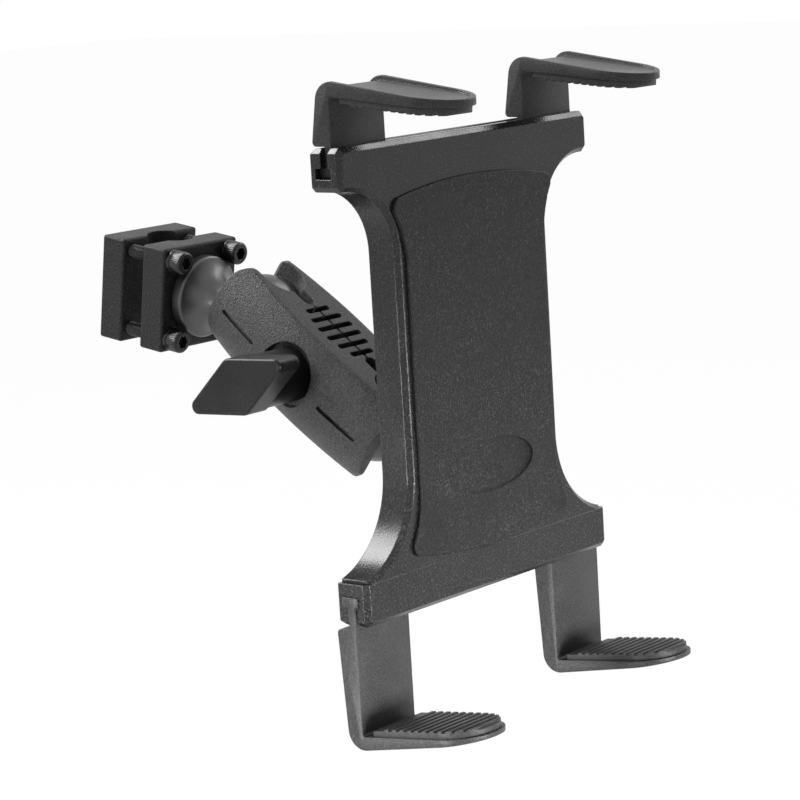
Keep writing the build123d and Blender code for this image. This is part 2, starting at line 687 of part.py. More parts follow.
def make_bottom_rail():
    rail = bevelled(upright(rail_outline(), 0, BODY_DEPTH), -rail_top)
    rail -= Pos(0, 0, -seam + BODY_HEIGHT) * Box(RAIL_LENGTH * 2, BODY_DEPTH * 4, BODY_HEIGHT * 2)
    rail -= mirror(t_slot(), Plane.XY)
    y = TONGUE_FRONT + TONGUE_THICKNESS / 2
    rail -= Pos(0, y, -seam) * Box(TONGUE_WIDTH, TONGUE_THICKNESS, TONGUE_SEAT * 2)
    hole = flat_screw_hole(TONGUE_SCREW_DIAMETER, RAIL_HEIGHT, TONGUE_SCREW_HEAD, THREAD_FIT)
    access = Cylinder(TONGUE_SCREW_HEAD / 2 + THREAD_FIT, SLOT_LIP * 3, align=ON_FLOOR)
    for x, y in tongue_screw_places():
        rail -= facing((x, y, tongue_screw_seat), (0, 0, -1)) * (hole + access)
    return rail


def make_slide_tongue():
    """Flat bar with a crosshead that stops against the channel's step and has a thin
    ledge with the two spring pegs."""
    bottom = -seam - TONGUE_SEAT
    y = TONGUE_FRONT + TONGUE_THICKNESS / 2
    bar = Box(TONGUE_WIDTH, TONGUE_THICKNESS, crosshead_top - bottom)
    head = Box(CROSSHEAD_WIDTH, TONGUE_THICKNESS, CROSSHEAD_HEIGHT)
    tongue = Pos(0, y, (bottom + crosshead_top) / 2) * bar
    tongue += Pos(0, y, crosshead_top - CROSSHEAD_HEIGHT / 2) * head
    room = Box(CROSSHEAD_WIDTH * 2, TONGUE_THICKNESS, (crosshead_top - ledge_bottom) * 2)
    tongue -= Pos(0, y + LEDGE_THICKNESS, crosshead_top) * room
    peg_start = TONGUE_FRONT + LEDGE_THICKNESS / 2
    for peg in spring_pegs(lower_peg, peg_start, cover_front - 2 * TONGUE_PLAY):
        tongue += peg
    for x, y in tongue_screw_places():
        hole = Cylinder(TONGUE_SCREW_DIAMETER / 2 + THREAD_FIT, TONGUE_SCREW_LENGTH * 2)
        tongue -= Pos(x, y, bottom) * hole
    return tongue


def make_tongue_screws():
    """Two screws from the roof of the rail's slot up into the tongue."""
    screw = flat_screw(TONGUE_SCREW_DIAMETER, TONGUE_SCREW_LENGTH, TONGUE_SCREW_HEAD, SMALL_SCREW_SOCKET)
    return [facing((x, y, tongue_screw_seat), (0, 0, -1)) * screw for x, y in tongue_screw_places()]


def make_tension_springs():
    """Two close-wound springs between the pegs, with an eye at each end."""
    springs = []
    y = (channel_front + cover_front) / 2
    eye = Torus(SPRING_EYE_RADIUS, TENSION_SPRING_WIRE / 2)
    radius = TENSION_SPRING_RADIUS
    eyes = (lower_peg + eye_shift, upper_peg - eye_shift)
    spring = ribbed_sleeve(
        radius, radius, TENSION_SPRING_TURNS, eyes[0] + SPRING_EYE_RADIUS, eyes[1] - SPRING_EYE_RADIUS
    )
    for z in eyes:
        spring += Pos(0, 0, z) * Rot(90, 0, 0) * eye
    for side in (-1, 1):
        springs.append(Pos(side * TENSION_SPRING_SPACING / 2, y, 0) * spring)
    return springs


# Legs: drawn for the upper rail, with Z counted from the rail's outer face

def hook_inner(y, reach):
    """Height of the hook's gripping face, which leans in towards its tip."""
    return reach - (LEG_FRONT - y) * math.tan(math.radians(HOOK_LEAN))


def leg_profile(reach, gap, corner, end):
    """Side view of plate and hook in Y and Z."""
    tip = LEG_FRONT - HOOK_LENGTH
    root = reach + HOOK_ROOT
    points = [
        (LEG_FRONT, gap),
        (LEG_SHOULDER_BACK, gap),
        (corner, root),
        (tip, hook_inner(tip, reach) + end),
        (tip, hook_inner(tip, reach)),
        (LEG_FRONT, reach),
    ]
    return make_face(Polyline([(0, y, z) for y, z in points], close=True))


def leg_plan(width):
    """Straight strip along Y with a round end towards the tip, seen from above."""
    tip = LEG_FRONT - HOOK_LENGTH + LEG_WIDTH / 2
    strip = HOOK_LENGTH + LEG_SHOULDER_BACK
    return Pos(0, tip) * Circle(width / 2) + Pos(0, tip + strip / 2) * Rectangle(width, strip)


def leg_channel(reach, gap, corner, end):
    """Field between the side ribs, down the plate's back, round the bend and out to the tip."""
    tip = LEG_FRONT - HOOK_LENGTH
    root = reach + HOOK_ROOT
    start = gap + LEG_CHANNEL_START
    back = LEG_SHOULDER_BACK - (LEG_SHOULDER_BACK - corner) * LEG_CHANNEL_START / (root - gap)
    above = root + HOOK_ROOT
    points = [
        (LEG_SHOULDER_BACK + HOOK_ROOT, start),
        (back - LEG_CHANNEL_ROOT, start),
        (corner - LEG_CHANNEL_ROOT, root - LEG_CHANNEL_ROOT),
        (tip, hook_inner(tip, reach) + end - LEG_CHANNEL_TIP),
        (tip, above),
        (LEG_SHOULDER_BACK + HOOK_ROOT, above),
    ]
    section = make_face(Polyline([(0, y, z) for y, z in points], close=True))
    field = extrude(section, LEG_WIDTH, both=True, dir=(1, 0, 0))
    bend = field.edges().filter_by(Axis.X).sort_by_distance((0, corner, root))[0]
    field = fillet(bend, LEG_CHANNEL_BEND)
    return field & extrude(leg_plan(LEG_WIDTH - 2 * LEG_RIB), above)


def make_leg(reach, gap, corner, end):
    """Short or long L leg, centred on X, with its T foot in the slot."""
    leg = extrude(leg_profile(reach, gap, corner, end), LEG_WIDTH / 2, both=True, dir=(1, 0, 0))
    bend = leg.edges().filter_by(Axis.X).sort_by_distance((0, corner, reach + HOOK_ROOT))[0]
    leg = fillet(bend, HOOK_BEND)
    inner = leg.edges().filter_by(Axis.X).sort_by_distance((0, LEG_FRONT, reach))[0]
    leg = fillet(inner, HOOK_INNER_ROUND)
    shoulder = leg.edges().filter_by(Axis.X).sort_by_distance((0, LEG_SHOULDER_BACK, gap))[0]
    leg = fillet(shoulder, LEG_SHOULDER_ROUND)
    leg = leg & extrude(leg_plan(LEG_WIDTH), reach + HOOK_ROOT + 1)
    leg -= leg_channel(reach, gap, corner, end)
    stem_width = SLOT_WIDTH - 2 * SLOT_PLAY
    stem_height = SLOT_LIP + gap + SLOT_PLAY
    stem = Pos(0, SLOT_FRONT + SLOT_WIDTH / 2, gap - stem_height / 2)
    leg += stem * Box(LEG_WIDTH, stem_width, stem_height)
    head_width = SLOT_HEAD_WIDTH - 2 * SLOT_PLAY
    head_height = SLOT_HEAD_HEIGHT - 2 * SLOT_PLAY
    head = Pos(0, SLOT_HEAD_FRONT + SLOT_HEAD_WIDTH / 2, -SLOT_LIP - SLOT_HEAD_HEIGHT / 2)
    return leg + head * Box(LEG_WIDTH, head_width, head_height)


def make_grip(reach):
    """Ribbed rubber pad on the hook's gripping face, with ribs along X."""
    start = LEG_FRONT - GRIP_START
    length = HOOK_LENGTH - GRIP_START - GRIP_MARGIN
    width = LEG_WIDTH - 2 * GRIP_MARGIN
    plan = Pos(0, -length + width / 2) * Circle(width / 2)
    plan += Pos(0, (-length + width / 2) / 2) * Rectangle(width, length - width / 2)
    lean = Pos(0, start, hook_inner(start, reach)) * Rot(HOOK_LEAN, 0, 0)
    base = extrude(plan, -GRIP_BASE)
    ribs = []
    for index in range(RIB_COUNT):
        y = -length + RIB_START + index * RIB_PITCH
        ribs.append(Pos(0, y, -GRIP_BASE - RIB_HEIGHT / 2) * Box(width, RIB_WIDTH, RIB_HEIGHT))
    ribbed = extrude(plan, -GRIP_BASE - RIB_HEIGHT) & (ribs[0] + ribs[1:])
    return lean * (base + ribbed)


def on_rail(piece, x, upper):
    """Move a leg or grip from its own frame to the upper or the lower rail."""
    piece = Pos(x, 0, rail_top) * piece
    return piece if upper else mirror(piece, Plane.XY)


# Front pad

def make_front_pad():
    """Thin pad that follows the waist, with arched ends and an oval recess."""
    top = seam - PAD_END_GAP
    corner = top - PAD_ARCH
    side_line = waist - PAD_SIDE
    shoulder = side_line + PAD_FLARE
    bend = corner - PAD_COVE
    ends = [[(-shoulder, end * corner), (0, end * top), (shoulder, end * corner)] for end in (-1, 1)]
    edges = [ThreePointArc(*points) for points in ends]
    for side in (-1, 1):
        edges.append(Line((side * side_line, bend), (side * side_line, -bend)))
        for end in (-1, 1):
            start = (side * side_line, end * bend)
            edges.append(TangentArc(start, (side * shoulder, end * corner), tangent=(0, end)))
    outline = make_face(Wire.combine(edges)[0])
    tips = outline.vertices().filter_by(lambda v: abs(v.X) > shoulder - 0.1)
    outline = fillet(tips, PAD_CORNER)
    pad = upright(outline, -PAD_THICKNESS, PAD_THICKNESS)
    pad = fillet(pad.edges().group_by(Axis.Y)[0], PAD_EDGE)
    oval = Pos(0, -OVAL_DROP) * Ellipse(OVAL_LENGTH / 2, OVAL_HEIGHT / 2)
    return pad - upright(oval, -PAD_THICKNESS - 1, OVAL_DEPTH + 1)


def save(name, frame, *solids):
    """Write one node, moved from its own frame to the shared one."""
    placed = [frame * solid for solid in solids]
    shape = placed[0] if len(placed) == 1 else Compound(children=placed)
    export_step(shape, f"parts/{name}.step")


# Clamp nodes
save("front_jaw", clamp_frame, make_front_jaw())
save("rear_jaw", clamp_frame, make_rear_jaw())
for number in range(4):
    save(f"clamp_screw_{number + 1}", clamp_frame, make_clamp_screw(number))
save("lock_washers", clamp_frame, *make_lock_washers())
stud = make_ball_stud()
save("clamp_ball_stud", clamp_frame, facing((0, -jaw_face, 0), (0, -1, 0)) * stud)
stud_screw = flat_screw(STUD_SCREW_DIAMETER, stud_screw_length(), STUD_SCREW_HEAD, STUD_SCREW_SOCKET)
save("clamp_stud_screw", clamp_frame, facing((0, -stud_screw_top(), 0), (0, 1, 0)) * stud_screw)

# Arm nodes
save("arm_half_front", arm_frame, make_arm_half_front())
save("arm_half_rear", arm_frame, make_arm_half_rear())
save("arm_bolt", arm_frame, make_arm_bolt())
save("arm_spring", arm_frame, make_arm_spring())
save("knob_washer", arm_frame, make_knob_washer())
save("wing_knob", arm_frame, make_wing_knob())
save("knob_insert", arm_frame, make_knob_insert())

# Holder nodes
stud_seat = facing((0, BODY_DEPTH + ADAPTER_THICKNESS, -adapter_drop), (0, 1, 0))
save("holder_ball_stud", holder_frame, stud_seat * stud)
save("holder_stud_screw", holder_frame, make_holder_stud_screw())
save("adapter_plate", holder_frame, make_adapter_plate())
save("adapter_screws", holder_frame, *make_adapter_screws())
save("holder_body", holder_frame, make_holder_body())
save("back_cover", holder_frame, make_back_cover())
save("cover_screws", holder_frame, *make_cover_screws())
save("bottom_rail", holder_frame, make_bottom_rail())
save("slide_tongue", holder_frame, make_slide_tongue())
save("tongue_screws", holder_frame, *make_tongue_screws())
save("tension_springs", holder_frame, *make_tension_springs())
save("front_pad", holder_frame, make_front_pad())

# Leg nodes
leg_kinds = {
    "upper": (UPPER_LEG_REACH, UPPER_LEG_GAP, UPPER_LEG_CORNER, UPPER_HOOK_TIP, UPPER_LEG_INSET),
    "lower": (LOWER_LEG_REACH, LOWER_LEG_GAP, LOWER_LEG_CORNER, LOWER_HOOK_TIP, LOWER_LEG_INSET),
}
for rail, (reach, gap, corner, end, inset) in leg_kinds.items():
    leg = make_leg(reach, gap, corner, end)
    grip = make_grip(reach)
    for hand, side in (("left", -1), ("right", 1)):
        x = side * (rail_end - inset - LEG_WIDTH / 2)
        save(f"{rail}_{hand}_leg", holder_frame, on_rail(leg, x, rail == "upper"))
        save(f"{rail}_{hand}_grip", holder_frame, on_rail(grip, x, rail == "upper"))
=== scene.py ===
import json
import math

import bmesh
import bpy
from mathutils import Matrix, Quaternion, Vector


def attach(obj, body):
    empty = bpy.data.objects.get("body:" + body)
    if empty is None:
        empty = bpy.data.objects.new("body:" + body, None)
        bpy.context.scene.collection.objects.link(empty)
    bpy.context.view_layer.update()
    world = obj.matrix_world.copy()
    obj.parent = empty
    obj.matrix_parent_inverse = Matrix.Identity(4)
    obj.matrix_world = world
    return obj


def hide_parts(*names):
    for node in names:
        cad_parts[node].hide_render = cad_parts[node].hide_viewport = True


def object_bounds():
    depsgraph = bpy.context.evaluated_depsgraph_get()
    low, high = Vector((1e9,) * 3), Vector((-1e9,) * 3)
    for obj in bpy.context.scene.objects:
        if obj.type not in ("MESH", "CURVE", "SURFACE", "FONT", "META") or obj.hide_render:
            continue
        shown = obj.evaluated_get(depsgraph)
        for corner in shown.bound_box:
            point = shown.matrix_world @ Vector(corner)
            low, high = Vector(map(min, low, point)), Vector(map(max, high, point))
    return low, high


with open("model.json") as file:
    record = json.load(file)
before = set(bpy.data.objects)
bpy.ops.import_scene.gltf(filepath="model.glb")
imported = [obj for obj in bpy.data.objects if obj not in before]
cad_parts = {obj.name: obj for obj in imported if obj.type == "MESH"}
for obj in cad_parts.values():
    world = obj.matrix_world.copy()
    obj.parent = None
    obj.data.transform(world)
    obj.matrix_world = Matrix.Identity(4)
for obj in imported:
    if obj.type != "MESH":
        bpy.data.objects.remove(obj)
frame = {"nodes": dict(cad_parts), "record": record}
cad_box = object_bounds()

# Lengths in metres and angles in radians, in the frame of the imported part

CLAMP_TILT = math.radians(9.0)
WELD = 0.000002
SHARP_ANGLE = math.radians(38.0)

# Arm: the line grooves in the outer faces
BALL_1 = Vector((0.0, -0.045 * math.cos(CLAMP_TILT), -0.045 * math.sin(CLAMP_TILT)))
BALL_SPACING = 0.0584
ARM_ANGLE = math.radians(36.9)
ARM_CROWN_MIDDLE = 0.0188
ARM_CROWN_END = 0.0161
ARM_END = 0.010
LINE_INNER = 0.0162
LINE_OUTER = 0.0338
LINE_WIDTH = 0.0016
LINE_DEPTH = 0.0007
LINE_STEPS = 24

# Clamp screws
SCREW_OFFSET = 0.0136
SCREW_SEAT = -0.0159
SCREW_LENGTH = 0.030
SCREW_STEPS = 72
THREAD_PITCH = 0.0008
THREAD_ROOT = 0.00198
THREAD_CREST = 0.00238
HEAD_RADIUS = 0.00393
HEAD_HEIGHT = 0.0048
HEAD_ROUND = 0.0002
HEAD_RIM = 0.0006
KNURL_DEPTH = 0.00014
SOCKET_RADIUS = 0.0023
SOCKET_DEPTH = 0.0026
HEX_SIDE = math.tau / 6

# Legs and grips: rounded edges
GRIP_ROUND = 0.00015
LEG_ROUND = 0.0002
ROUND_STEPS = 2
ROUND_ANGLE = math.radians(35.0)
FLAT_ANGLE = math.radians(0.6)

# Finishes
NOISE_LOW = 0.33
NOISE_HIGH = 0.67
SPECK_START = 0.56
SPECK_FULL = 0.68
SPECK_SHIFT = (0.31, 0.17, 0.23)
EDGE_SAMPLES = 6
EDGE_GAIN = 4.0
EDGE_POLISH = -0.12
RING_SCALE = 900.0
RING_STRENGTH = 0.25
RING_DEPTH = 0.00003
STUD_COLOUR = (0.095, 0.095, 0.096)
STUD_LEAN = {"clamp_ball_stud": CLAMP_TILT, "holder_ball_stud": 0.0}

# Studio
CAMERA_PLACE = Vector((-0.7165, -0.69865, 0.1233))
CAMERA_FORWARD = Vector((0.7573, 0.6315, -0.1661))
CAMERA_ROLL = math.radians(-3.495)
CAMERA_LENS = 130.56
CAMERA_NEAR = 0.05
SENSOR = 36.0
FLOOR_DROP = 0.10
FLOOR_REACH = 6.0
FLOOR_WHITE = 0.97
SOFT_LIGHT = 0.3


# Node helpers

def node(tree, kind, **settings):
    """Add one node; settings that name a socket set its default value."""
    made = tree.nodes.new(kind)
    for name, value in settings.items():
        if hasattr(made, name):
            setattr(made, name, value)
        else:
            made.inputs[name.replace("_", " ")].default_value = value
    return made


def join(tree, out, into):
    tree.links.new(out, into)


def new_group(name, inputs, outputs):
    """Shader node group with float inputs and typed outputs."""
    tree = bpy.data.node_groups.new(name, "ShaderNodeTree")
    for label, value in inputs.items():
        socket = tree.interface.new_socket(label, in_out="INPUT", socket_type="NodeSocketFloat")
        socket.default_value = value
    for label, kind in outputs.items():
        tree.interface.new_socket(label, in_out="OUTPUT", socket_type=kind)
    return tree, tree.nodes.new("NodeGroupInput"), tree.nodes.new("NodeGroupOutput")


def math_node(tree, operation, first, second, clamp=False):
    """Math node whose two inputs are sockets or numbers."""
    made = node(tree, "ShaderNodeMath", operation=operation, use_clamp=clamp)
    for socket, value in zip(made.inputs, (first, second)):
        if isinstance(value, (int, float)):
            socket.default_value = value
        else:
            join(tree, value, socket)
    return made.outputs[0]


def grain_group():
    """Moulded grain: a fine height, sparse pale specks and slow blotches, on object coordinates."""
    tree, given, result = new_group(
        "moulded_grain",
        {"Grain Scale": 2500.0, "Blotch Scale": 60.0},
        {"Height": "NodeSocketFloat", "Blotch": "NodeSocketFloat", "Specks": "NodeSocketFloat"},
    )
    place = tree.nodes.new("ShaderNodeTexCoord")
    fine = node(tree, "ShaderNodeTexNoise", Detail=3.0, Roughness=0.6)
    slow = node(tree, "ShaderNodeTexNoise", Detail=4.0, Roughness=0.55)
    for noise, scale in ((fine, "Grain Scale"), (slow, "Blotch Scale")):
        join(tree, place.outputs["Object"], noise.inputs["Vector"])
        join(tree, given.outputs[scale], noise.inputs["Scale"])
    dust = node(tree, "ShaderNodeTexNoise", Detail=1.0, Roughness=0.5)
    aside = node(tree, "ShaderNodeMapping", Location=SPECK_SHIFT)
    join(tree, place.outputs["Object"], aside.inputs["Vector"])
    join(tree, aside.outputs["Vector"], dust.inputs["Vector"])
    join(tree, given.outputs["Grain Scale"], dust.inputs["Scale"])
    sparse = node(tree, "ShaderNodeMapRange", From_Min=SPECK_START, From_Max=SPECK_FULL)
    join(tree, dust.outputs["Fac"], sparse.inputs["Value"])
    join(tree, sparse.outputs["Result"], result.inputs["Specks"])
    join(tree, fine.outputs["Fac"], result.inputs["Height"])
    join(tree, slow.outputs["Fac"], result.inputs["Blotch"])
    return tree


def edge_group():
    """Moulded edges: the normal rounded off near an edge, and a mask of where that is, which polishes
    the edges and places the painted edge highlight.
    """
    tree, given, result = new_group(
        "rounded_edge",
        {"Width": 0.0003},
        {"Normal": "NodeSocketVector", "Edge": "NodeSocketFloat"},
    )
    rounded = node(tree, "ShaderNodeBevel", samples=EDGE_SAMPLES)
    join(tree, given.outputs["Width"], rounded.inputs["Radius"])
    surface = tree.nodes.new("ShaderNodeNewGeometry")
    likeness = node(tree, "ShaderNodeVectorMath", operation="DOT_PRODUCT")
    join(tree, rounded.outputs["Normal"], likeness.inputs[0])
    join(tree, surface.outputs["Normal"], likeness.inputs[1])
    turned = math_node(tree, "SUBTRACT", 1.0, likeness.outputs["Value"])
    strong = math_node(tree, "MULTIPLY", turned, EDGE_GAIN, clamp=True)
    join(tree, strong, result.inputs["Edge"])
    join(tree, rounded.outputs["Normal"], result.inputs["Normal"])
    return tree


GRAIN = grain_group()
EDGE = edge_group()


def spread(tree, factor, middle, reach):
    """Map a noise factor onto a range round a middle value."""
    made = node(tree, "ShaderNodeMapRange", From_Min=NOISE_LOW, From_Max=NOISE_HIGH,
                To_Min=middle - reach, To_Max=middle + reach)
    join(tree, factor, made.inputs["Value"])
    return made.outputs["Result"]


def finish(name, colour, roughness, metallic=0.0, specular=0.5, depth=0.0001, grain=1800.0,
           speckle=0.1, blotch=60.0, variation=0.12, gloss_variation=0.06, edge=0.0003, painted_edge_light=0.6,
           specks=0.0):
    """Material of one finish: grain in bump and colour, slow blotches in colour and gloss, and a
    painted highlight on the edges that becomes painted shade when its amount is negative.
    """
    made = bpy.data.materials.new(name)
    made.use_nodes = True
    tree = made.node_tree
    shader = tree.nodes["Principled BSDF"]
    shader.inputs["Metallic"].default_value = metallic
    shader.inputs["Specular IOR Level"].default_value = specular
    texture = node(tree, "ShaderNodeGroup", node_tree=GRAIN, Grain_Scale=grain, Blotch_Scale=blotch)
    corner = node(tree, "ShaderNodeGroup", node_tree=EDGE, Width=edge)

    # Colour: mottled by the grain and the blotches, with a painted highlight on the edges (painted
    # shade where that amount is negative), and lighter on specks
    slow = spread(tree, texture.outputs["Blotch"], 1.0, variation)
    fine = spread(tree, texture.outputs["Height"], 1.0, speckle)
    mottled = math_node(tree, "MULTIPLY", slow, fine)
    # Painted highlight: the edge mask lightens the colour on edges; a negative amount paints shade
    # there instead
    painted_edge_amount = math_node(tree, "MULTIPLY", corner.outputs["Edge"], painted_edge_light)
    pale = math_node(tree, "MULTIPLY", texture.outputs["Specks"], specks)
    lighter = math_node(tree, "ADD", math_node(tree, "ADD", painted_edge_amount, 1.0), pale)
    tint = node(tree, "ShaderNodeMix", data_type="RGBA", blend_type="MULTIPLY", Factor=1.0,
                A=(*colour, 1.0))
    join(tree, math_node(tree, "MULTIPLY", mottled, lighter), tint.inputs["B"])
    join(tree, tint.outputs["Result"], shader.inputs["Base Color"])

    # Gloss: blotched, and polished on the edges
    gloss = spread(tree, texture.outputs["Blotch"], roughness, gloss_variation)
    polish = math_node(tree, "MULTIPLY", corner.outputs["Edge"], EDGE_POLISH)
    join(tree, math_node(tree, "ADD", gloss, polish), shader.inputs["Roughness"])

    # Surface: the grain on top of the rounded edges
    relief = node(tree, "ShaderNodeBump", Strength=1.0, Distance=depth)
    join(tree, texture.outputs["Height"], relief.inputs["Height"])
    join(tree, corner.outputs["Normal"], relief.inputs["Normal"])
    join(tree, relief.outputs["Normal"], shader.inputs["Normal"])
    return made


def turned_finish(name, lean):
    """Turned metal: fine rings round the stud's axis, in bump."""
    made = finish(name, STUD_COLOUR, roughness=0.36, metallic=0.85, depth=0.00001, grain=3000.0,
                  speckle=0.08, blotch=120.0, variation=0.06, gloss_variation=0.015, painted_edge_light=0.8)
    tree = made.node_tree
    shader = tree.nodes["Principled BSDF"]
    place = tree.nodes.new("ShaderNodeTexCoord")
    level = node(tree, "ShaderNodeMapping", Rotation=(-lean, 0.0, 0.0))
    join(tree, place.outputs["Object"], level.inputs["Vector"])
    rings = node(tree, "ShaderNodeTexWave", bands_direction="Y", Scale=RING_SCALE, Distortion=1.5,
                 Detail=2.0)
    join(tree, level.outputs["Vector"], rings.inputs["Vector"])
    relief = node(tree, "ShaderNodeBump", Strength=RING_STRENGTH, Distance=RING_DEPTH)
    join(tree, rings.outputs["Fac"], relief.inputs["Height"])
    grain_relief = shader.inputs["Normal"].links[0].from_node
    join(tree, grain_relief.outputs["Normal"], relief.inputs["Normal"])
    join(tree, relief.outputs["Normal"], shader.inputs["Normal"])
    return made


# Each finish's edge amount paints a highlight along its edges into the colour
FINISHES = {
    "jaw_metal": finish(
        "black_anodised", (0.0115, 0.0115, 0.012), roughness=0.42, specular=0.2,
        depth=0.0003, grain=2000.0, speckle=0.9, edge=0.0006, painted_edge_light=3.0, specks=2.0),
    "arm_metal": finish(
        "grey_powder_coat", (0.031, 0.031, 0.0315), roughness=0.42, specular=0.3,
        depth=0.0004, grain=1900.0, speckle=0.9, edge=0.0006, painted_edge_light=1.0, specks=1.0),
    "black_steel": finish(
        "black_oxide", (0.016, 0.016, 0.0165), roughness=0.25, metallic=0.3, specular=0.4,
        depth=0.00002, grain=3000.0, painted_edge_light=3.0),
    "bright_steel": finish(
        "zinc_steel", (0.55, 0.55, 0.56), roughness=0.3, metallic=1.0,
        depth=0.00001, grain=3000.0),
    "brass": finish(
        "turned_brass", (0.7, 0.52, 0.22), roughness=0.3, metallic=1.0,
        depth=0.00001, grain=3000.0),
    "knob_plastic": finish(
        "smooth_plastic", (0.011, 0.011, 0.0115), roughness=0.35, specular=0.22,
        depth=0.00006, grain=1500.0, speckle=0.4, edge=0.0008, painted_edge_light=2.5),
    "body_plastic": finish(
        "black_plastic", (0.013, 0.013, 0.0133), roughness=0.22, specular=0.34,
        depth=0.00005, grain=1500.0, speckle=0.7, edge=0.0005, painted_edge_light=2.5, specks=2.0),
    "leg_plastic": finish(
        "matte_grey_plastic", (0.036, 0.036, 0.037), roughness=0.38, specular=0.24,
        grain=2100.0, speckle=0.5, painted_edge_light=1.6, specks=0.4),
    "grip_rubber": finish(
        "grip_rubber", (0.035, 0.035, 0.035), roughness=0.5, specular=0.3,
        speckle=0.5, painted_edge_light=0.8),
    # Painted shade: the pad's negative edge amount darkens its edges, round its outline and along the
    # oval recess
    "pad_rubber": finish(
        "pad_rubber", (0.008, 0.008, 0.0082), roughness=0.42, specular=0.22,
        depth=0.0003, grain=1900.0, speckle=0.95, blotch=45.0, variation=0.45,
        gloss_variation=0.1, edge=0.0006, painted_edge_light=-0.95, specks=4.0),
}
for stud, lean in STUD_LEAN.items():
    FINISHES[stud] = turned_finish(f"turned_{stud}", lean)

record = frame["record"]
slots = {part["node"]: part["material_slot"] for part in record["subparts"]}
riders = {name: body for body, names in record["behaviour"]["bodies"].items() for name in names}


def finish_of(name):
    return FINISHES[name] if name in FINISHES else FINISHES[slots[name]]


for name, cad_piece in frame["nodes"].items():
    cad_piece.data.materials.clear()
    cad_piece.data.materials.append(finish_of(name))


# Pieces

def shade(data):
    """Smooth shading up to the sharp angle, without the normals that a CAD mesh brings along."""
    for name in ("custom_normal", "sharp_edge", "sharp_face"):
        if name in data.attributes:
            data.attributes.remove(data.attributes[name])
    data.shade_smooth()
    data.set_sharp_from_angle(angle=SHARP_ANGLE)


def node_copy(node_name):
    """Welded copy of a CAD node's mesh."""
    mesh = bmesh.new()
    mesh.from_mesh(frame["nodes"][node_name].data)
    bmesh.ops.remove_doubles(mesh, verts=mesh.verts, dist=WELD)
    return mesh


def add_piece(name, mesh, stands_for):
    """Finished bmesh as a piece that replaces one CAD node, rides on its body and has its finish."""
    data = bpy.data.meshes.new(name)
    mesh.to_mesh(data)
    mesh.free()
    shade(data)
    piece = bpy.data.objects.new(name, data)
    bpy.context.scene.collection.objects.link(piece)
    data.materials.append(finish_of(stands_for))
    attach(piece, riders[stands_for])
    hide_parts(stands_for)
    return piece


def soft_edges(node_name, width):
    """Copy of a node's mesh with its sharp edges rounded off."""
    mesh = node_copy(node_name)
    bmesh.ops.dissolve_limit(mesh, angle_limit=FLAT_ANGLE, verts=mesh.verts, edges=mesh.edges,
                             use_dissolve_boundaries=False, delimit=set())
    sharp = [edge for edge in mesh.edges
             if len(edge.link_faces) == 2 and edge.calc_face_angle() > ROUND_ANGLE]
    bmesh.ops.bevel(mesh, geom=sharp, offset=width, offset_type="OFFSET", segments=ROUND_STEPS,
                    profile=0.5, affect="EDGES", clamp_overlap=False, material=-1,
                    harden_normals=False)
    return add_piece(f"{node_name}_rounded", mesh, node_name)


# Clamp screws: knurled head with a hex socket, and a threaded shank

def of_kind(made, kind):
    return [item for item in made["geom"] if isinstance(item, kind)]


def around(vert):
    """Angle of a vertex round the screw's axis, while that is still Y."""
    return math.atan2(vert.co.z, vert.co.x)


